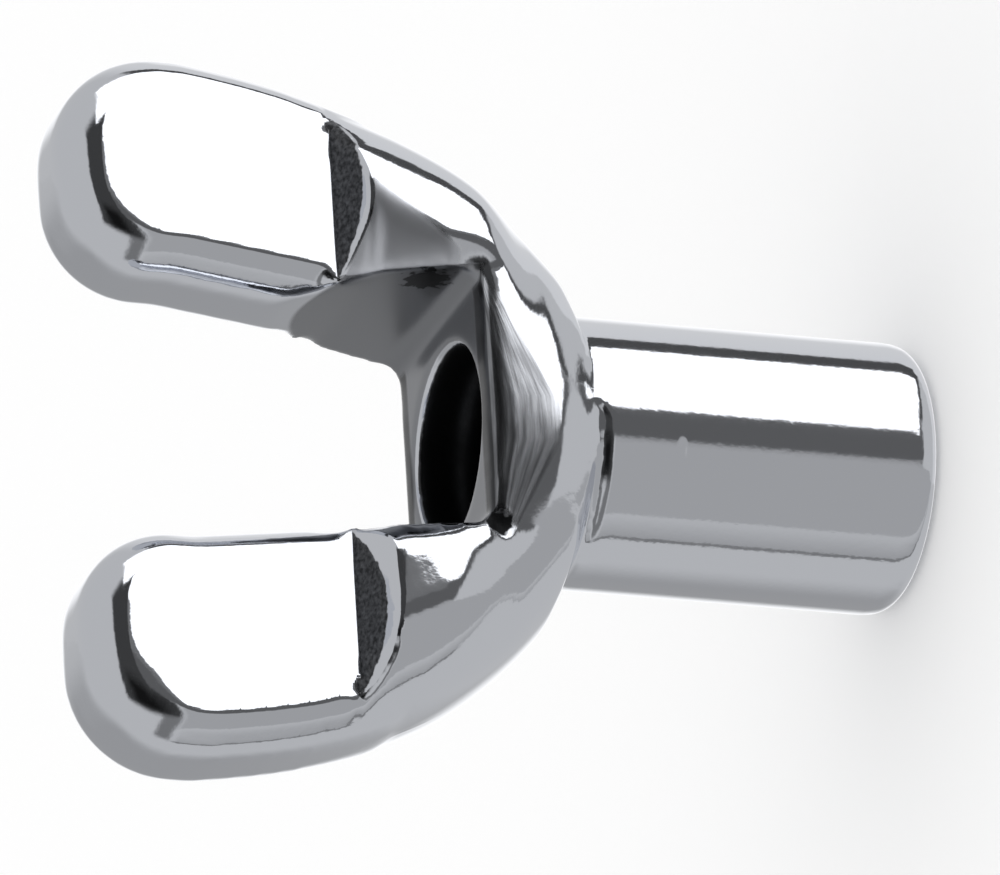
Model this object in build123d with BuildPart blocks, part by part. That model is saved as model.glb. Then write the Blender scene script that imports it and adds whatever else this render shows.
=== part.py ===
# One-piece cast wing nut with a long round boss and a milled slot between its wings.
# Frame in millimetres: origin at the centre of the boss seat face, +Z along the bore
# towards the wing tips, +X across the span of the wings, -Y towards the front.
import os
from math import copysign, cos, exp, pi, sin, sqrt

from build123d import *

# Boss and bore
boss_diameter = 12.0
boss_edge_radius = 1.0
bore_diameter = 8.0           # nominal M8, a thread's ridges stand inside it
clearance_diameter = 8.6      # plain mouth of the bore at the slot
clearance_depth = 2.2
mouth_chamfer = 0.2
seat_chamfer = 0.5

# Hub and arms: an ellipse in side view, a flare like a trumpet's in front view
hub_thickness = 12.6
hub_centre_height = 18.5
hub_ellipse_height = 20.8
hub_start = 15.0
hub_levels = 8
flare_reach = 17.4            # half span the flare runs out to
flare_depth = 9.2
flare_height = 16.7
flare_length = 7.1
squareness = 0.0167           # how fast the round level sections turn square with height
section_points = 24
arm_tuck = 0.12               # the arm's hidden end draws in under the wing's rim

# Turned relief under the hub, where the tool that turned the boss ran out
relief_height = 16.0          # where its cone meets the boss
relief_slope = 0.44           # rise for each mm outwards
relief_tuck = 0.5             # it starts so far inside the boss, out of sight

# Ramp where each arm steps down to the flat panel of its wing
ramp_height = 26.7            # foot of the ramp on the panel
ramp_slope = 0.85             # fall in height for each mm of thickness

# Wings: flat plates with rounded rims
wing_thickness = 6.2
wing_length = 12.1            # from the foot of the ramp to the tip
wing_edge_radius = 2.2
wing_root_x = 11.0            # the plate's lower edge, hidden in the hub
wing_root_depth = 4.2
wing_foot_depth = 2.2
shoulder_drop = 5.6           # the outer edge stops flaring so far below the tip
tip_crown = 0.6
tip_centre = 10.9
inner_tip_x = 6.05
inner_foot_x = 4.6
inner_tip_drop = 5.2
tip_outer_radius = 4.6
tip_inner_radius = 4.2

# Slot milled between the wings, its walls leaning in to run out on the wings' rims
slot_width = 12.0
slot_floor = 20.95
slot_corner_chamfer = 0.55
slot_offset = -0.1            # as it was cut, a little off centre
lean_width = 0.55
lean_depth = 1.5              # the lean starts so far below the foot of the ramp
lean_rise = 3.6

beyond = 60.0                 # well outside the part, for cutters

half_wing = wing_thickness / 2
tip_height = ramp_height + wing_length
shoulder_height = tip_height - shoulder_drop
wing_foot_height = ramp_height - wing_foot_depth
wing_root_height = ramp_height - wing_root_depth


def half_span(height):
    """Half span of the hub, arms and wings at a height, on the centre plane."""
    return flare_reach - flare_depth * exp((flare_height - height) / flare_length)


def half_thickness(height):
    """Half thickness of the hub and arms at a height, from the side ellipse."""
    rise = (height - hub_centre_height) / (hub_ellipse_height / 2)
    return max(half_wing, hub_thickness / 2 * sqrt(max(0, 1 - rise * rise)))


def level_outline(half_width, half_depth, power):
    """Points round a level section: an ellipse for power 2, squarer above that."""
    points = []
    for step in range(section_points):
        across = cos(2 * pi * step / section_points)
        deep = sin(2 * pi * step / section_points)
        points.append((half_width * copysign(abs(across) ** (2 / power), across),
                       half_depth * copysign(abs(deep) ** (2 / power), deep)))
    return points


# Hub and arms as one loft of level sections, cut off by the two ramps
ramp_top = ramp_height + half_wing * ramp_slope
ramp_bottom = ramp_height - (beyond - half_wing) * ramp_slope
level_gap = (ramp_top - hub_start) / (hub_levels - 1)
with BuildPart() as hub:
    for level in range(hub_levels):
        climb = level * level_gap
        height = hub_start + climb
        half_width = half_span(height) - arm_tuck * level / hub_levels
        with BuildSketch(Plane.XY.offset(height)):
            with BuildLine():
                power = 2 + squareness * climb ** 2
                Spline(level_outline(half_width, half_thickness(height), power), periodic=True)
            make_face()
    loft()
    with BuildSketch(Plane.YZ):
        with BuildLine():
            Polyline((0, ramp_top), (beyond, ramp_bottom), (-beyond, ramp_bottom), close=True)
        make_face()
    extrude(amount=beyond, both=True, mode=Mode.INTERSECT)
    relief_start = boss_diameter / 2 - relief_tuck
    relief_low = relief_height - relief_tuck * relief_slope
    relief_rim = relief_low + (beyond - relief_start) * relief_slope
    with BuildSketch(Plane.XZ):
        with BuildLine():
            Polyline((relief_start, relief_low), (beyond, relief_rim), (beyond, -beyond),
                     (relief_start, -beyond), close=True)
        make_face()
    revolve(axis=Axis.Z, mode=Mode.SUBTRACT)

# One wing, with its rim rounded all the way round
with BuildPart() as wing:
    with BuildSketch(Plane.XZ) as wing_view:
        with BuildLine():
            rise_height = shoulder_height - wing_foot_height
            heights = [wing_foot_height + rise_height * step / 3 for step in range(4)]
            outer = Spline([(half_span(height), height) for height in heights])
            rise = Line(outer @ 1, (half_span(shoulder_height), tip_height - tip_crown))
            crown = ThreePointArc(rise @ 1, (tip_centre, tip_height), (inner_tip_x, tip_height - tip_crown))
            Polyline(crown @ 1, (inner_tip_x, tip_height - inner_tip_drop), (inner_foot_x, wing_root_height),
                     (wing_root_x, wing_root_height), outer @ 0)
        make_face()
        inner_corner = wing_view.vertices().sort_by_distance(crown @ 1)[0]
        fillet(inner_corner, tip_inner_radius)
        outer_corner = wing_view.vertices().sort_by_distance(rise @ 1)[0]
        fillet(outer_corner, tip_outer_radius)
    extrude(amount=half_wing, both=True)
    faces = wing.faces().filter_by(Axis.Y)
    rim = [edge for edge in faces.edges() if (edge @ 0.5).Z > ramp_height]
    fillet(rim, wing_edge_radius)

with BuildPart() as wing_nut:
    add(hub.part)
    add(wing.part)
    mirror(wing.part, about=Plane.YZ)
    with BuildSketch(Plane.XY):
        Circle(boss_diameter / 2)
    extrude(amount=hub_centre_height)    # ends out of sight inside the hub
    seat_edge = wing_nut.edges().filter_by(GeomType.CIRCLE).group_by(Axis.Z)[0]
    fillet(seat_edge, boss_edge_radius)

    # Slot, cut right through from front to back
    half_slot = slot_width / 2
    half_floor = half_slot - slot_corner_chamfer
    half_top = half_slot - lean_width
    corner_height = slot_floor + slot_corner_chamfer
    lean_start = ramp_height - lean_depth
    with BuildSketch(Plane.XZ):
        with Locations((slot_offset, 0)):
            with BuildLine():
                side = Polyline((0, slot_floor), (half_floor, slot_floor), (half_slot, corner_height),
                                (half_slot, lean_start), (half_top, lean_start + lean_rise),
                                (half_top, beyond), (0, beyond))
                mirror(side, about=Plane.YZ)
            make_face()
    extrude(amount=beyond, both=True, mode=Mode.SUBTRACT)

    # Bore with its plain mouth at the slot and a lead-in at each end
    bore = bore_diameter / 2
    clearance = clearance_diameter / 2
    clearance_foot = slot_floor - clearance_depth
    with BuildSketch(Plane.XZ):
        with BuildLine():
            Polyline((0, 0), (bore + seat_chamfer, 0), (bore, seat_chamfer), (bore, clearance_foot),
                     (clearance, clearance_foot), (clearance, slot_floor - mouth_chamfer),
                     (clearance + mouth_chamfer, slot_floor), (0, slot_floor), close=True)
        make_face()
    revolve(axis=Axis.Z, mode=Mode.SUBTRACT)

wing_nut.part.label = "wing_nut"
os.makedirs("parts", exist_ok=True)
export_step(wing_nut.part, "parts/wing_nut.step")
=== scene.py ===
from math import copysign, cos, exp, hypot, pi, radians, sin, sqrt

import bmesh
import bpy
from mathutils import Matrix, Vector


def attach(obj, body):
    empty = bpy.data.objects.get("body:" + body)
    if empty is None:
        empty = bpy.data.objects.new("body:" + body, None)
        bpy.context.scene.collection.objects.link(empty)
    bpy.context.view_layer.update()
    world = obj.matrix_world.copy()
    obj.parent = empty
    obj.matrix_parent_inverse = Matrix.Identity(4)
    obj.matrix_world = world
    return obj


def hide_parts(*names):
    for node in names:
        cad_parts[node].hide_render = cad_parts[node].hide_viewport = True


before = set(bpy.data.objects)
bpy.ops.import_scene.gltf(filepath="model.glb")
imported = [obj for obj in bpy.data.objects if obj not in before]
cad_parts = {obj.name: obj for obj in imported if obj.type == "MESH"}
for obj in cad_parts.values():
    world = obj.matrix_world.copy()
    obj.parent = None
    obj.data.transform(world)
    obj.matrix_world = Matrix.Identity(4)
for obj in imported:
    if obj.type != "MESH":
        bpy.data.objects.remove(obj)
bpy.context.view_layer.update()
perMetre = 1000    # millimetres

# the seat of the boss stands on the floor, its bore upright and the wings on top
photoCamera = {"azimuth": -24.5, "elevation": 18.6, "roll": -85.2, "lens": 1000.0, "sensor": 36.0,
               "lookAt": (0.002734, 0.004901, 0.016620), "distance": 1.2211, "clip": (0.01, 20.0)}

print("camera")


def aimCamera(setup):
    azimuth, elevation = radians(setup["azimuth"]), radians(setup["elevation"])
    back = Vector((sin(azimuth) * cos(elevation), -cos(azimuth) * cos(elevation), sin(elevation)))
    turn = back.to_track_quat("Z", "Y").to_matrix() @ Matrix.Rotation(radians(setup["roll"]), 3, "Z")
    lens = bpy.data.cameras.new("photoCamera")
    lens.lens = setup["lens"]
    lens.sensor_width = setup["sensor"]
    lens.clip_start, lens.clip_end = setup["clip"]
    holder = bpy.data.objects.new("photoCamera", lens)
    place = Vector(setup["lookAt"]) + back * setup["distance"]
    holder.matrix_world = Matrix.Translation(place) @ turn.to_4x4()
    bpy.context.scene.collection.objects.link(holder)
    bpy.context.scene.camera = holder


aimCamera(photoCamera)

# The plated casting: a finely remeshed copy of the CAD solid (voxel and merge in metres), softened
# and then shaped further. All the other sizes down to the thread are in millimetres.
casting = {"voxel": 0.0002, "merge": 0.000001, "softenFactor": 0.5, "firstPasses": 5, "lastPasses": 2}
boss = {"radius": 6.0, "from": 1.15, "to": 14.9}
panel = {"half": 3.1, "from": 26.72, "rim": (2.2, 2.93), "tip": (34.0, 36.4), "tipSides": (11.6, 14.0),
         "tipShare": 0.55, "footReach": (0.11, 0.2), "flatHalf": 3.09}
# The CAD skin: a flare in front view, an ellipse in side view, squarer as it rises. "edge" keeps a
# level section off its very end, where it would have no thickness.
cadSkin = {"reach": 17.4, "depth": 9.2, "height": 16.7, "length": 7.1, "tuck": 0.0085, "from": 15.0,
           "squareness": 0.0167, "half": 6.3, "centre": 18.5, "rise": 10.4, "leastSquare": 0.01,
           "ramp": (26.7, 0.85), "rim": 2.2, "wingFrom": 24.5, "edge": 0.9995}
# The real casting's skin. An arm's outer side turns over a width that grows from the first value of
# "round" to the second between two heights. Its crest stands at a least distance from the middle, or
# at one that leans with the height. Towards the slot the arm thins to its "share" at each height.
castSkin = {"rise": 16.5, "ramp": (26.7, 0.42), "slotEdge": 6.0, "from": 18.0, "to": 26.8,
            "bore": (4.6, 5.2), "edge": 0.9999}
armFoot = ((15.0, 1.0), (18.0, 1.0), (18.5, 0.995), (19.0, 0.985), (19.5, 0.972), (20.0, 0.957),
           (20.5, 0.94), (21.0, 0.92))
rightArm = {"round": (5.7, 6.8, 20.5, 24.5), "roundFrom": (18.2, 20.6), "crest": (7.6, 7.5, 22.3, 0.9),
            "share": armFoot + ((22.3, 0.883), (24.2, 0.79), (25.0, 0.748), (25.8, 0.64), (26.7, 0.58),
                                (30.0, 0.58))}
leftArm = {"round": (4.4, 4.6, 20.5, 24.5), "roundFrom": (19.4, 23.8), "crest": (7.9, 7.9, 22.3, 0.0),
           "share": armFoot + ((22.3, 0.87), (24.2, 0.8), (25.0, 0.78), (25.8, 0.7), (26.7, 0.6),
                               (30.0, 0.6))}
rootBlend = {"from": 24.0, "to": 28.2, "wide": 11.8, "passes": 14}    # where a wing grows out of its arm
# a groove round the neck on the left arm's side, and a later turn from boss to hub on the right's
neck = {"fade": (4.6, 6.6), "skin": (0.75, 0.9), "turn": (-1.5, 0.5), "end": 16.2, "near": (0.1, 0.3),
        "groove": ((15.3, 0.0), (15.75, 0.24), (16.2, 0.31), (16.6, 0.29), (17.0, 0.18), (17.4, 0.06),
                   (17.9, 0.0)),
        "flare": ((15.4, 0.0), (16.0, 0.13), (16.3, 0.17), (16.6, 0.17), (17.0, 0.12), (17.4, 0.04),
                  (17.9, 0.0)),
        "blend": (16.1, 17.0), "passes": 2}
# the pit sinks into the front, and its inside is painted near black
pit = {"centre": (-6.0, -5.6, 20.7), "radii": (1.0, 0.7, 0.6), "depth": 0.35,
       "darkMark": (0.85, 0.12), "bright": 0.02, "roughness": 0.6}

print("casting")


def linkMesh(name, mesh):
    piece = bpy.data.objects.new(name, mesh)
    bpy.context.scene.collection.objects.link(piece)
    return piece


def fineCopy(node, name):
    mesh = node.data.copy()
    bm = bmesh.new()
    bm.from_mesh(mesh)
    bmesh.ops.remove_doubles(bm, verts=bm.verts, dist=casting["merge"])
    bmesh.ops.recalc_face_normals(bm, faces=bm.faces)
    bm.to_mesh(mesh)
    bm.free()
    rough = linkMesh(name + "Rough", mesh)
    remesh = rough.modifiers.new("remesh", "REMESH")
    remesh.mode = "VOXEL"
    remesh.voxel_size = casting["voxel"]
    graph = bpy.context.evaluated_depsgraph_get()
    fine = bpy.data.meshes.new_from_object(rough.evaluated_get(graph))
    bpy.data.objects.remove(rough)
    fine.name = name
    return fine


def soften(bm, passes, verts=None):
    for turn in range(passes):
        bmesh.ops.smooth_vert(bm, verts=verts or bm.verts, factor=casting["softenFactor"],
                              use_axis_x=True, use_axis_y=True, use_axis_z=True)


def ease(value, start, end):
    share = min(1, max(0, (value - start) / (end - start)))
    return share * share * (3 - 2 * share)


def readProfile(profile, height):
    for (low, lowDepth), (high, highDepth) in zip(profile, profile[1:]):
        if low <= height <= high:
            return lowDepth + (highDepth - lowDepth) * (height - low) / (high - low)
    return 0


def halfSpan(z):
    return cadSkin["reach"] - cadSkin["depth"] * exp((cadSkin["height"] - z) / cadSkin["length"])


def sideHalf(z, rise):
    square = 1 - ((z - cadSkin["centre"]) / rise) ** 2
    return cadSkin["half"] * sqrt(max(cadSkin["leastSquare"], square))


def wingHalf(x, z):
    # half the thickness of a wing's plate, with its rounded rim
    if z < cadSkin["wingFrom"]:
        return 0
    over = max(0, abs(x) - halfSpan(z) + cadSkin["rim"])
    return panel["half"] - cadSkin["rim"] + sqrt(max(0, cadSkin["rim"] ** 2 - over ** 2))


def rampHalf(z, ramp):
    foot, slope = ramp
    return panel["half"] + max(0, foot - z) / slope


def cadHalf(x, z):
    # half the thickness of the CAD solid at a point of its front view, and its level section there
    climb = z - cadSkin["from"]
    power = 2 + cadSkin["squareness"] * climb ** 2
    share = min(cadSkin["edge"], abs(x) / (halfSpan(z) - cadSkin["tuck"] * climb))
    section = (1 - share ** power) ** (1 / power)
    arm = max(panel["half"], sideHalf(z, cadSkin["rise"])) * section
    return section, max(min(arm, rampHalf(z, cadSkin["ramp"])), wingHalf(x, z))


def castHalf(x, z, section):
    # half the thickness of the real casting there, from the CAD solid's level section
    arm = rightArm if x > 0 else leftArm
    tight, wide, low, high = arm["round"]
    corner = tight + (wide - tight) * ease(z, low, high)
    middle = halfSpan(z) - cadSkin["tuck"] * (z - cadSkin["from"]) - corner
    past = min(castSkin["edge"], max(0, abs(x) - middle) / corner)
    section += (sqrt(1 - past ** 2) - section) * ease(z, *arm["roundFrom"])
    least, crest, height, lean = arm["crest"]
    crest = max(least, crest + lean * (z - height))
    inner = min(1, max(0, (abs(x) - castSkin["slotEdge"]) / (crest - castSkin["slotEdge"])))
    share = readProfile(arm["share"], z)
    share += (1 - share) * sin(pi / 2 * inner)
    rise = castSkin["rise"] if z > cadSkin["centre"] else cadSkin["rise"]
    skin = sideHalf(z, rise) * section * share
    return max(min(skin, rampHalf(z, castSkin["ramp"])), wingHalf(x, z))


def dressSkin(x, y, z):
    # the point's new y, stretched from the CAD skin to the casting's but for the walls of the bore
    if not castSkin["from"] < z < castSkin["to"]:
        return y
    section, half = cadHalf(x, z)
    change = castHalf(x, z, section) / half - 1
    return y * (1 + change * ease(hypot(x, y), *castSkin["bore"]))


def shrinkNeck(x, y, z):
    # the share of its distance from the axis that a point of the neck keeps
    groove, flare = readProfile(neck["groove"], z), readProfile(neck["flare"], z)
    depth = groove + (flare - groove) * ease(x, *neck["turn"])
    reach = hypot(x, y)
    depth *= (1 - ease(abs(x), *neck["fade"])) * ease(reach / cadSkin["half"], *neck["skin"])
    return 1 - depth / reach


def sinkPit(x, y, z):
    # how far the casting pit sinks the front there
    spots = zip((x, y, z), pit["centre"], pit["radii"])
    offset = Vector([(here - there) / radius for here, there, radius in spots])
    return pit["depth"] * (1 - ease(offset.length, 0, 1))


def dressHub(bm):
    for vert in bm.verts:
        x, y, z = vert.co * perMetre
        y = dressSkin(x, y, z)
        shrink = shrinkNeck(x, y, z)
        x, y = x * shrink, y * shrink
        vert.co = Vector((x, y + sinkPit(x, y, z), z)) / perMetre


def trueBoss(bm):
    # the boss is round to the light, whatever the remesh left, and further up on the right
    for vert in bm.verts:
        x, y, z = vert.co * perMetre
        reach = hypot(x, y)
        longer = ease(x, *neck["turn"]) * (1 - ease(abs(x), *neck["fade"]))
        end = boss["to"] + (neck["end"] - boss["to"]) * longer
        near = neck["near"][0] + (neck["near"][1] - neck["near"][0]) * longer
        if boss["from"] < z < end and abs(reach - boss["radius"]) < near:
            vert.co.x *= boss["radius"] / reach
            vert.co.y *= boss["radius"] / reach


def truePanels(bm):
    # the panels are flat to the light and turn to their rims late, but not at a tip's outer corner
    for vert in bm.verts:
        x, y, z = vert.co * perMetre
        if z > panel["from"]:
            sides = panel["tipShare"] + (1 - panel["tipShare"]) * ease(abs(x), *panel["tipSides"])
            rim = ease(abs(y), *panel["rim"]) * (1 - ease(z, *panel["tip"]) * sides)
            deep = min(panel["half"], abs(y) + (panel["half"] - panel["rim"][1]) * rim)
            vert.co.y = copysign(deep / perMetre, y)


def sharpenRamps(bm):
    # the foot of each ramp is a straight sharp line
    foot = castSkin["ramp"][0]
    rise, out = panel["footReach"]
    for vert in bm.verts:
        x, y, z = vert.co * perMetre
        onFoot = abs(z - foot) < rise and abs(abs(y) - panel["half"]) < out
        if onFoot and wingHalf(x, z) > panel["flatHalf"]:
            vert.co.z = foot / perMetre
            vert.co.y = copysign(panel["half"] / perMetre, y)
            vert.tag = True
    for edge in bm.edges:
        if edge.verts[0].tag and edge.verts[1].tag:
            edge.smooth = False


def makeCasting(node):
    mesh = fineCopy(node, "casting")
    bm = bmesh.new()
    bm.from_mesh(mesh)
    soften(bm, casting["firstPasses"])
    dressHub(bm)
    roots = [vert for vert in bm.verts if rootBlend["from"] < vert.co.z * perMetre < rootBlend["to"]
             and abs(vert.co.x) * perMetre > rootBlend["wide"]]
    soften(bm, rootBlend["passes"], roots)
    soften(bm, casting["lastPasses"])
    trueBoss(bm)
    truePanels(bm)
    sharpenRamps(bm)
    low, high = neck["blend"]
    lateTurn = [vert for vert in bm.verts if low < vert.co.z * perMetre < high and vert.co.x > 0]
    soften(bm, neck["passes"], lateTurn)
    for face in bm.faces:
        face.smooth = True
    print("casting faces", len(bm.faces))
    bm.to_mesh(mesh)
    bm.free()
    return linkMesh("casting", mesh)


nut = makeCasting(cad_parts["wing_nut"])
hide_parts("wing_nut")
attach(nut, "root")

# the M8 thread in the bore, a right-hand ridge of 1.25 mm pitch, in metres
thread = {"root": 0.00405, "crest": 0.00336, "pitch": 0.00125, "halfRoot": 0.00056, "halfCrest": 0.00009,
          "start": 0.0009, "turns": 14, "steps": 32}

print("thread")


def makeThread(setup):
    bm = bmesh.new()
    corners = [(setup["root"], -setup["halfRoot"]), (setup["crest"], -setup["halfCrest"]),
               (setup["crest"], setup["halfCrest"]), (setup["root"], setup["halfRoot"])]
    verts = [bm.verts.new((reach, 0, setup["start"] + rise)) for reach, rise in corners]
    profile = bm.faces.new(verts)
    bmesh.ops.spin(bm, geom=list(profile.edges), cent=(0, 0, 0), axis=(0, 0, 1),
                   angle=2 * pi * setup["turns"], steps=setup["turns"] * setup["steps"],
                   dvec=(0, 0, setup["pitch"] / setup["steps"]), use_merge=False,
                   use_normal_flip=False, use_duplicate=False)
    bmesh.ops.holes_fill(bm, edges=[edge for edge in bm.edges if edge.is_boundary], sides=4)
    bmesh.ops.recalc_face_normals(bm, faces=bm.faces)
    mesh = bpy.data.meshes.new("thread")
    bm.to_mesh(mesh)
    bm.free()
    return linkMesh("thread", mesh)


ridge = makeThread(thread)
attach(ridge, "root")


def addNode(tree, kind, **values):
    node = tree.nodes.new(kind)
    for key, value in values.items():
        setattr(node, key, value)
    return node


def plugIn(tree, socket, value):
    # a number is set on the socket, and anything else is linked to it
    if isinstance(value, (int, float)):
        socket.default_value = value
    else:
        tree.links.new(value, socket)


def reckon(tree, operation, *values):
    node = addNode(tree, "ShaderNodeMath", operation=operation)
    for socket, value in zip(node.inputs, values):
        plugIn(tree, socket, value)
    return node.outputs[0]


def product(tree, first, *others):
    for other in others:
        first = reckon(tree, "MULTIPLY", first, other)
    return first


def softStep(tree, value, middle, width):
    node = addNode(tree, "ShaderNodeMapRange", interpolation_type="SMOOTHSTEP")
    tree.links.new(value, node.inputs["Value"])
    node.inputs["From Min"].default_value = middle - width / 2
    node.inputs["From Max"].default_value = middle + width / 2
    return node.outputs["Result"]


def softBand(tree, value, ends, width):
    rise = softStep(tree, value, ends[0], width)
    fall = softStep(tree, value, ends[1], width)
    return reckon(tree, "SUBTRACT", rise, fall)


def below(tree, value, limit, width):
    return reckon(tree, "SUBTRACT", 1.0, softStep(tree, value, limit, width))


def rescale(tree, value, source, target):
    node = addNode(tree, "ShaderNodeMapRange")
    tree.links.new(value, node.inputs["Value"])
    for name, end in zip(("From Min", "From Max", "To Min", "To Max"), source + target):
        node.inputs[name].default_value = end
    return node.outputs["Result"]


def mixIn(tree, mask, under, over, label=""):
    node = addNode(tree, "ShaderNodeMix", data_type="FLOAT", label=label)
    tree.links.new(mask, node.inputs["Factor"])
    plugIn(tree, node.inputs["A"], under)
    plugIn(tree, node.inputs["B"], over)
    return node.outputs["Result"]


def mixZones(tree, value, zones, finishes):
    for name, finish in finishes:
        value = mixIn(tree, zones[name], value, finish)
    return value


def makeNoise(tree, place, scale, detail, stretch=(1, 1, 1)):
    # the place is in millimetres, so scale counts the grains in each of them
    mapping = addNode(tree, "ShaderNodeMapping")
    tree.links.new(place, mapping.inputs["Vector"])
    mapping.inputs["Scale"].default_value = stretch
    noise = addNode(tree, "ShaderNodeTexNoise")
    tree.links.new(mapping.outputs[0], noise.inputs["Vector"])
    noise.inputs["Scale"].default_value = scale
    noise.inputs["Detail"].default_value = detail
    return noise.outputs["Fac"]


def findMillimetres(tree):
    scaled = addNode(tree, "ShaderNodeVectorMath", operation="SCALE")
    tree.links.new(addNode(tree, "ShaderNodeTexCoord").outputs["Object"], scaled.inputs[0])
    scaled.inputs["Scale"].default_value = perMetre
    return scaled.outputs[0]


def distanceFrom(tree, place, centre, stretch=(1, 1, 1)):
    drawn = addNode(tree, "ShaderNodeVectorMath", operation="MULTIPLY")
    tree.links.new(place, drawn.inputs[0])
    drawn.inputs[1].default_value = stretch
    gap = addNode(tree, "ShaderNodeVectorMath", operation="DISTANCE")
    tree.links.new(drawn.outputs[0], gap.inputs[0])
    gap.inputs[1].default_value = [spot * share for spot, share in zip(centre, stretch)]
    return gap.outputs["Value"]


# Where the finish and the painted shade change on the casting, in millimetres, and what they are there.
# A limit is its place and how softly it is crossed; a noise is its grains to the millimetre and its
# detail.
plating = {"bright": 0.86, "tint": (0.915, 0.94), "roughness": (0.045, 0.09), "gloss": (1.1, 3),
           "grain": (3.6, 2), "grainDepth": 0.003, "orange": (0.9, 1), "orangeDepth": 0.003}
milledSlot = {"halfWidth": (6.13, 0.03), "floor": (20.84, 0.03), "mouth": (4.33, 0.03), "top": (27.6, 0.3),
              "dome": 0.1, "bright": 0.36, "roughness": 0.3, "lines": (6.0, 2),
              "lineStretch": (0.15, 1, 0.08), "lineDepth": 0.002}
# the bore's wall is painted near black, a painted shade deep in the hole; its roughness is its own
boreShadeAndFinish = {"radius": (4.36, 0.05), "top": (20.9, 0.05), "foot": (0.55, 0.1), "bright": 0.045,
              "roughness": 0.45}
# the ramp's crescent is painted dark, a painted shade, with a mottled tone and roughness of its own
rampFace = {"near": 0.22, "nearSoft": 0.05, "crest": 9.9, "halfWidth": 3.9, "rise": 1.85, "least": 0.15,
            "edge": (0.0, 0.08), "start": (0.02, 0.04), "ragged": (2.4, 3), "raggedDepth": 0.3,
            "mottle": (5.0, 4), "mottleFrom": (0.35, 0.75), "mottleDepth": 0.012,
            "bright": (0.05, 0.2), "roughness": 0.45}
satinFacet = {"crest": (0.45, 0.5), "slotEdge": (6.1, 0.05), "from": (21.9, 0.4), "past": (0.25, 0.1),
              "ramp": (26.5, 0.1), "bright": 0.9, "roughness": 0.38}
# the ground streaks by the slot vary in tone at random, and darken towards the slot's edge by painted
# shade
hubStreaks = {"middle": -1.2, "flat": 1.0, "slope": 0.5, "low": 17.9, "top": 21.0, "leastRoom": 0.2,
              "footSoft": 0.25, "topSoft": 0.1, "wide": (6.6, 1.0), "deep": (4.6, 0.3),
              "track": (0.07, 2.6), "noise": (3.4, 4), "noiseFrom": (0.38, 0.62), "bright": (0.45, 1.08),
              "edge": (0.55, 0.12), "edgeRagged": 0.4, "dark": 0.42, "roughness": 0.19, "depth": 0.009}
raggedEdge = {"noise": (2.5, 2), "size": 0.5}    # of the dark in the pit and of the stain
darkMark = {"centre": (6.0, -3.9, 22.85), "radius": (1.0, 0.3), "ragged": 3.2, "bright": 0.06}
nicks = [{"at": (-2.0, -5.66, 12.1), "stretch": (0.45, 0.45, 1.1), "size": (0.2, 0.3), "depth": 0.03},
         {"at": (-2.8, -5.31, 8.0), "stretch": (0.4, 0.4, 1.4), "size": (0.16, 0.26), "depth": 0.016}]

print("chrome")


def readPlace(tree):
    # the point in millimetres, how far it lies past the panel, and its height along a ramp's plane
    place = findMillimetres(tree)
    parts = addNode(tree, "ShaderNodeSeparateXYZ")
    tree.links.new(place, parts.inputs[0])
    x, y, z = parts.outputs
    squares = reckon(tree, "ADD", reckon(tree, "MULTIPLY", x, x), reckon(tree, "MULTIPLY", y, y))
    deep = reckon(tree, "ABSOLUTE", y)
    past = reckon(tree, "SUBTRACT", deep, panel["half"])
    slope = castSkin["ramp"][1]
    return {"place": place, "x": x, "y": y, "z": z, "wide": reckon(tree, "ABSOLUTE", x), "deep": deep,
            "reach": reckon(tree, "SQRT", squares), "past": past,
            "plane": reckon(tree, "MULTIPLY_ADD", past, slope, z)}


def markSlot(tree, at):
    # the milled floor and walls, which end upwards in an arc
    dome = reckon(tree, "MULTIPLY", at["y"], at["y"])
    dome = reckon(tree, "MULTIPLY_ADD", dome, milledSlot["dome"], at["z"])
    return product(tree, below(tree, at["wide"], *milledSlot["halfWidth"]),
                   softStep(tree, at["z"], *milledSlot["floor"]),
                   softStep(tree, at["reach"], *milledSlot["mouth"]),
                   below(tree, dome, *milledSlot["top"]))


def markBore(tree, at):
    # the bore's wall, painted near black as shade
    return product(tree, below(tree, at["reach"], *boreShadeAndFinish["radius"]),
                   below(tree, at["z"], *boreShadeAndFinish["top"]),
                   softStep(tree, at["z"], *boreShadeAndFinish["foot"]))


def markRamp(tree, at):
    # the ramp's rough cast face, a crescent between the panel and an arc about the arm's crest, painted
    # dark as shade
    side = reckon(tree, "SUBTRACT", at["wide"], rampFace["crest"])
    side = reckon(tree, "DIVIDE", side, rampFace["halfWidth"])
    arc = reckon(tree, "SUBTRACT", 1.0, reckon(tree, "MULTIPLY", side, side))
    arc = reckon(tree, "MULTIPLY_ADD", arc, rampFace["rise"], rampFace["least"])
    ragged = makeNoise(tree, at["place"], *rampFace["ragged"])
    ragged = reckon(tree, "MULTIPLY", ragged, rampFace["raggedDepth"])
    inside = reckon(tree, "SUBTRACT", reckon(tree, "SUBTRACT", arc, ragged), at["past"])
    foot = castSkin["ramp"][0]
    ends = foot - rampFace["near"], foot + rampFace["near"]
    return product(tree, softBand(tree, at["plane"], ends, rampFace["nearSoft"]),
                   softStep(tree, inside, *rampFace["edge"]),
                   softStep(tree, at["past"], *rampFace["start"]))


def markFacet(tree, at):
    # the right arm's facet beside the slot is only satin
    crest, height, lean = rightArm["crest"][1:]
    crest = reckon(tree, "MULTIPLY_ADD", at["z"], lean, crest - height * lean)
    return product(tree, softStep(tree, reckon(tree, "SUBTRACT", crest, at["x"]), *satinFacet["crest"]),
                   softStep(tree, at["x"], *satinFacet["slotEdge"]),
                   softStep(tree, at["z"], *satinFacet["from"]),
                   softStep(tree, at["past"], *satinFacet["past"]),
                   below(tree, at["plane"], *satinFacet["ramp"]))


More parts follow.
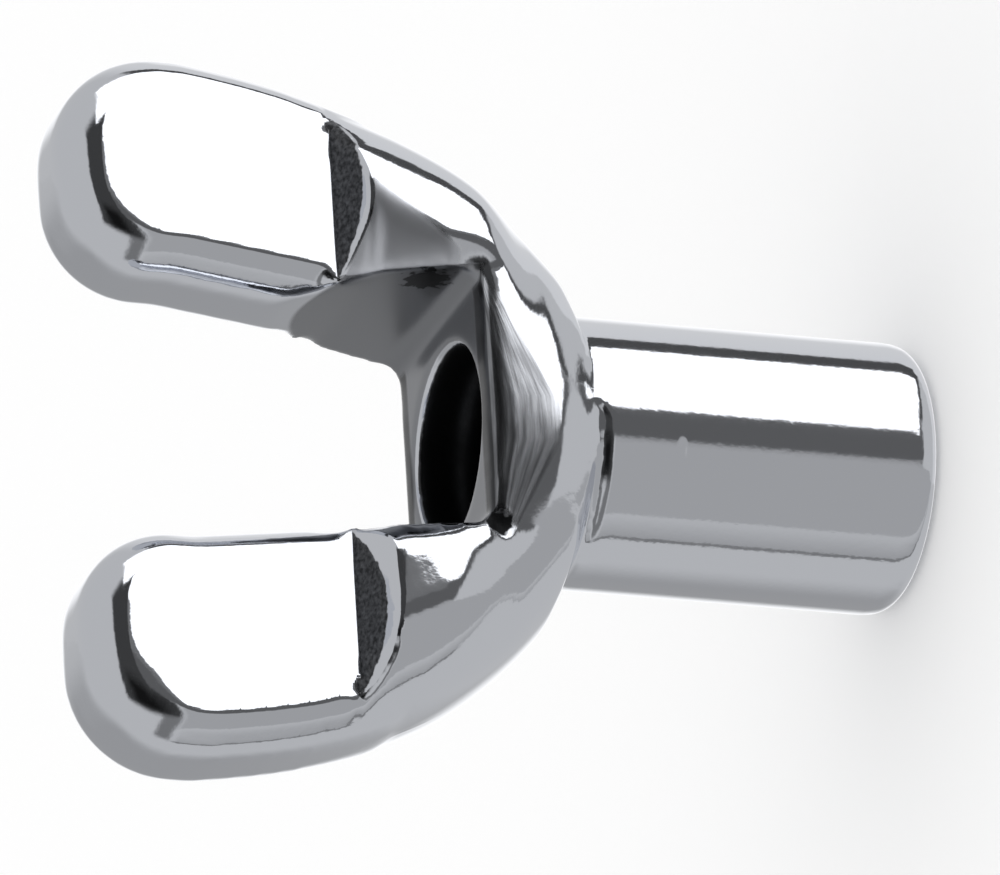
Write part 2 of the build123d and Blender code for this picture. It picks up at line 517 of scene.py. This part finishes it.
def markStreaks(tree, at):
    # streaks along the hub's edge, where it was ground by hand: a patch with a V for its foot
    off = reckon(tree, "ABSOLUTE", reckon(tree, "SUBTRACT", at["x"], hubStreaks["middle"]))
    off = reckon(tree, "MAXIMUM", reckon(tree, "SUBTRACT", off, hubStreaks["flat"]), 0.0)
    foot = reckon(tree, "MULTIPLY_ADD", off, hubStreaks["slope"], hubStreaks["low"])
    room = reckon(tree, "SUBTRACT", hubStreaks["top"], foot)
    room = reckon(tree, "MAXIMUM", room, hubStreaks["leastRoom"])
    down = reckon(tree, "DIVIDE", reckon(tree, "SUBTRACT", hubStreaks["top"], at["z"]), room)
    above = reckon(tree, "SUBTRACT", at["z"], foot)
    zone = product(tree, softStep(tree, above, 0.0, hubStreaks["footSoft"]),
                   below(tree, at["z"], hubStreaks["top"], hubStreaks["topSoft"]),
                   below(tree, at["wide"], *hubStreaks["wide"]),
                   softStep(tree, at["deep"], *hubStreaks["deep"]))
    track = addNode(tree, "ShaderNodeCombineXYZ")
    along, across = hubStreaks["track"]
    tree.links.new(reckon(tree, "MULTIPLY", at["x"], along), track.inputs["X"])
    tree.links.new(reckon(tree, "MULTIPLY", down, across), track.inputs["Z"])
    return zone, makeNoise(tree, track.outputs[0], *hubStreaks["noise"]), down


def markPit(tree, at, ragged):
    # the pit's inside, painted near black, with a ragged edge
    gap = distanceFrom(tree, at["place"], pit["centre"])
    return below(tree, reckon(tree, "ADD", gap, ragged), *pit["darkMark"])


def markStain(tree, at, ragged):
    # a dark blot on the slot's wall
    gap = distanceFrom(tree, at["place"], darkMark["centre"])
    ragged = reckon(tree, "SUBTRACT", ragged, raggedEdge["size"] / 2)
    blot = reckon(tree, "MULTIPLY_ADD", ragged, darkMark["ragged"], gap)
    return below(tree, blot, *darkMark["radius"])


def shadeStreaks(tree, bright, streaks, down):
    # a random tone along the streaks, and a painted shade that darkens them towards the slot's edge
    shade = rescale(tree, streaks, hubStreaks["noiseFrom"], hubStreaks["bright"])
    slotEdgeShade = reckon(tree, "MULTIPLY_ADD", streaks, hubStreaks["edgeRagged"], down)
    slotEdgeShade = below(tree, slotEdgeShade, *hubStreaks["edge"])
    return product(tree, bright, shade, mixIn(tree, slotEdgeShade, 1.0, hubStreaks["dark"]))


def cutNicks(tree, at, height):
    for nick in nicks:
        gap = distanceFrom(tree, at["place"], nick["at"], nick["stretch"])
        dent = reckon(tree, "MULTIPLY", below(tree, gap, *nick["size"]), nick["depth"])
        height = reckon(tree, "SUBTRACT", height, dent)
    return height


def makeChrome():
    chrome = bpy.data.materials.new("chrome")
    chrome.use_nodes = True
    tree = chrome.node_tree
    shader = tree.nodes["Principled BSDF"]
    at = readPlace(tree)
    place = at["place"]
    ragged = makeNoise(tree, place, *raggedEdge["noise"])
    ragged = reckon(tree, "MULTIPLY", ragged, raggedEdge["size"])
    zones = {"slot": markSlot(tree, at), "bore": markBore(tree, at), "ramp": markRamp(tree, at),
             "facet": markFacet(tree, at), "pit": markPit(tree, at, ragged)}
    zones["darkMark"] = product(tree, markStain(tree, at, ragged), zones["slot"])
    zones["streaks"], streaks, down = markStreaks(tree, at)
    mottle = makeNoise(tree, place, *rampFace["mottle"])

    # colour: painted shade in the bore, on the ramp's crescent and among the streaks towards the slot; the
    # slot, the blot and the facet have tones of their own, and the pit is painted near black
    roughCastAndShade = rescale(tree, mottle, rampFace["mottleFrom"], rampFace["bright"])
    bright = mixZones(tree, plating["bright"], zones, (
        ("slot", milledSlot["bright"]), ("darkMark", darkMark["bright"]), ("bore", boreShadeAndFinish["bright"]),
        ("facet", satinFacet["bright"]), ("ramp", roughCastAndShade)))
    bright = mixIn(tree, zones["streaks"], bright, shadeStreaks(tree, bright, streaks, down))
    bright = mixIn(tree, zones["pit"], bright, pit["bright"])
    colour = addNode(tree, "ShaderNodeCombineColor")
    for socket, share in zip(colour.inputs, plating["tint"]):
        tree.links.new(reckon(tree, "MULTIPLY", bright, share), socket)
    tree.links.new(bright, colour.inputs["Blue"])
    tree.links.new(colour.outputs[0], shader.inputs["Base Color"])

    low, high = plating["roughness"]
    gloss = reckon(tree, "MULTIPLY_ADD", makeNoise(tree, place, *plating["gloss"]), high - low, low)
    gloss = mixZones(tree, gloss, zones, (
        ("slot", milledSlot["roughness"]), ("bore", boreShadeAndFinish["roughness"]),
        ("facet", satinFacet["roughness"]), ("streaks", hubStreaks["roughness"]),
        ("ramp", rampFace["roughness"]), ("pit", pit["roughness"])))
    tree.links.new(gloss, shader.inputs["Roughness"])
    shader.inputs["Metallic"].default_value = 1.0

    # heights in millimetres: the plate's own grain, the cutter's lines in the slot, the rough ramp
    grain = reckon(tree, "MULTIPLY", makeNoise(tree, place, *plating["grain"]), plating["grainDepth"])
    waves = reckon(tree, "MULTIPLY", makeNoise(tree, place, *plating["orange"]), plating["orangeDepth"])
    lines = makeNoise(tree, place, *milledSlot["lines"], milledSlot["lineStretch"])
    height = mixZones(tree, reckon(tree, "ADD", grain, waves), zones, (
        ("slot", reckon(tree, "MULTIPLY", lines, milledSlot["lineDepth"])),
        ("ramp", reckon(tree, "MULTIPLY", mottle, rampFace["mottleDepth"])),
        ("streaks", reckon(tree, "MULTIPLY", streaks, hubStreaks["depth"]))))
    bump = addNode(tree, "ShaderNodeBump")
    bump.inputs["Distance"].default_value = 1 / perMetre
    tree.links.new(cutNicks(tree, at, height), bump.inputs["Height"])
    tree.links.new(bump.outputs[0], shader.inputs["Normal"])
    return chrome


# the thread is painted nearly black, a painted shade deep in the bore, with a grimy tone that varies at
# random
threadShadeAndFinish = {"darkMark": (1.5, 3), "bright": (0.01, 0.09), "roughness": 0.35}


def makeThreadSteel():
    steel = bpy.data.materials.new("threadSteel")
    steel.use_nodes = True
    tree = steel.node_tree
    shader = tree.nodes["Principled BSDF"]
    grimeAndShade = makeNoise(tree, findMillimetres(tree), *threadShadeAndFinish["darkMark"])
    shade = rescale(tree, grimeAndShade, (0.0, 1.0), threadShadeAndFinish["bright"])
    tree.links.new(shade, shader.inputs["Base Color"])
    shader.inputs["Metallic"].default_value = 1.0
    shader.inputs["Roughness"].default_value = threadShadeAndFinish["roughness"]
    return steel


def dressIn(piece, material):
    piece.data.materials.clear()
    piece.data.materials.append(material)


dressIn(nut, makeChrome())
dressIn(ridge, makeThreadSteel())

print("floor")
floorPaper = {"colour": (0.93, 0.93, 0.93, 1), "roughness": 0.9, "glow": 0.08, "size": 1.5}


def makeFloor(setup):
    mesh = bpy.data.meshes.new("floor")
    bm = bmesh.new()
    bmesh.ops.create_grid(bm, x_segments=1, y_segments=1, size=setup["size"])
    bm.to_mesh(mesh)
    bm.free()
    paper = bpy.data.materials.new("paper")
    paper.use_nodes = True
    sockets = paper.node_tree.nodes["Principled BSDF"].inputs
    sockets["Base Color"].default_value = setup["colour"]
    sockets["Roughness"].default_value = setup["roughness"]
    sockets["Emission Color"].default_value = (1, 1, 1, 1)
    sockets["Emission Strength"].default_value = setup["glow"]
    mesh.materials.append(paper)
    floor = linkMesh("floor", mesh)
    floor.visible_glossy = False    # the metal sees the cards of the studio below it too


makeFloor(floorPaper)

# The studio, by direction from the nut: each card spans two bearings and two heights, in degrees.
# Bearing 0 is the camera's side and grows anticlockwise from above. Soft is the width of the card's
# upright and level edges. A card with a lean starts at a larger bearing with each degree above the
# lean's first height, by its second value.
print("studio")
tentLevel, roomLevel = 0.54, 1.0
studioCards = [
    {"name": "frontTable", "bearing": (-48, 16), "height": (-95, 0), "soft": (3, 8), "level": 0.40},
    {"name": "shadedSide", "bearing": (-172, -112), "height": (-34, 36), "soft": (30, 24), "level": 0.36},
    {"name": "brightSide", "bearing": (119, 200), "height": (-80, 2), "soft": (4, 20), "level": 0.70},
    {"name": "tableLine", "bearing": (-72.5, -69), "height": (-60, 0), "soft": (1.5, 8), "level": 0.2},
    {"name": "dimStrip", "bearing": (-70, 0), "height": (3, 16), "soft": (14, 6), "level": 0.19},
    {"name": "darkRoom", "bearing": (-20, 74), "height": (4, 47), "soft": (16, 5), "level": 0.05},
    {"name": "cameraGap", "bearing": (-14, 18), "height": (12, 36), "soft": (16, 14), "level": 0.008},
    {"name": "boxFrameLeft", "bearing": (17, 60), "height": (-37, 8), "soft": (7, 5), "level": 0.115},
    {"name": "boxFrameRight", "bearing": (60, 119), "height": (-37, 2), "soft": (2, 4), "level": 0.075},
    {"name": "boxShade", "bearing": (38, 90), "height": (-18, 8), "soft": (4, 3), "level": 0.17},
    {"name": "softbox", "bearing": (43.5, 105), "height": (-31, 6), "soft": (1.2, 2), "level": 1.5,
     "lean": (-18.6, 0.3)},
    {"name": "softboxTop", "bearing": (66, 105), "height": (3, 22), "soft": (3, 3), "level": 1.5},
]
# a lighter strip along the table's edge, which fades towards the table's dark line
tableStrip = {"bearing": (-69, -48), "soft": 1.5, "fade": (-70, -50), "level": (0.37, 0.515),
              "under": (-2, 8)}
backdrop = {"near": (0.93, 0.14), "level": 1.1}    # by the cosine of the angle from straight behind


def maskCard(tree, card, bearing, height):
    left = bearing
    if "lean" in card:
        foot, slope = card["lean"]
        rise = reckon(tree, "MAXIMUM", reckon(tree, "SUBTRACT", height, foot), 0)
        left = reckon(tree, "SUBTRACT", bearing, reckon(tree, "MULTIPLY", rise, slope))
    upright, level = card["soft"]
    return product(tree, softStep(tree, left, card["bearing"][0], upright),
                   below(tree, bearing, card["bearing"][1], upright),
                   softBand(tree, height, card["height"], level))


def addStrip(tree, setup, bearing, height, level):
    mask = product(tree, softBand(tree, bearing, setup["bearing"], setup["soft"]),
                   below(tree, height, *setup["under"]))
    shade = rescale(tree, bearing, setup["fade"], setup["level"])
    return mixIn(tree, mask, level, shade, "tableStrip")


def addBackdrop(tree, setup, direction, elevation, level):
    away = addNode(tree, "ShaderNodeVectorMath", operation="DOT_PRODUCT")
    tree.links.new(direction, away.inputs[0])
    away.inputs[1].default_value = (-cos(elevation), 0, -sin(elevation))
    mask = softStep(tree, away.outputs["Value"], *setup["near"])
    return mixIn(tree, mask, level, setup["level"], "backdrop")


def makeStudio(cards, azimuth, elevation):
    world = bpy.data.worlds.new("studio")
    bpy.context.scene.world = world
    world.use_nodes = True
    world.cycles.sampling_method = "NONE"
    tree = world.node_tree
    turned = addNode(tree, "ShaderNodeVectorRotate", rotation_type="Z_AXIS")
    turned.inputs["Angle"].default_value = radians(90 - azimuth)
    tree.links.new(addNode(tree, "ShaderNodeTexCoord").outputs["Generated"], turned.inputs["Vector"])
    parts = addNode(tree, "ShaderNodeSeparateXYZ")
    tree.links.new(turned.outputs[0], parts.inputs[0])
    x, y, z = parts.outputs
    bearing = reckon(tree, "MULTIPLY", reckon(tree, "ARCTAN2", y, x), 180 / pi)
    height = reckon(tree, "MULTIPLY", reckon(tree, "ARCSINE", z), 180 / pi)
    level = tentLevel
    for card in cards:
        level = mixIn(tree, maskCard(tree, card, bearing, height), level, card["level"], card["name"])
    level = addStrip(tree, tableStrip, bearing, height, level)
    level = addBackdrop(tree, backdrop, turned.outputs[0], radians(elevation), level)
    # only the metal's reflections see the cards
    glossy = addNode(tree, "ShaderNodeLightPath").outputs["Is Glossy Ray"]
    level = mixIn(tree, glossy, roomLevel, level, "whatTheMetalSees")
    background = tree.nodes["Background"].inputs
    tree.links.new(level, background["Strength"])
    background["Color"].default_value = (1, 1, 1, 1)


makeStudio(studioCards, photoCamera["azimuth"], photoCamera["elevation"])
bpy.context.scene.view_settings.view_transform = "Standard"
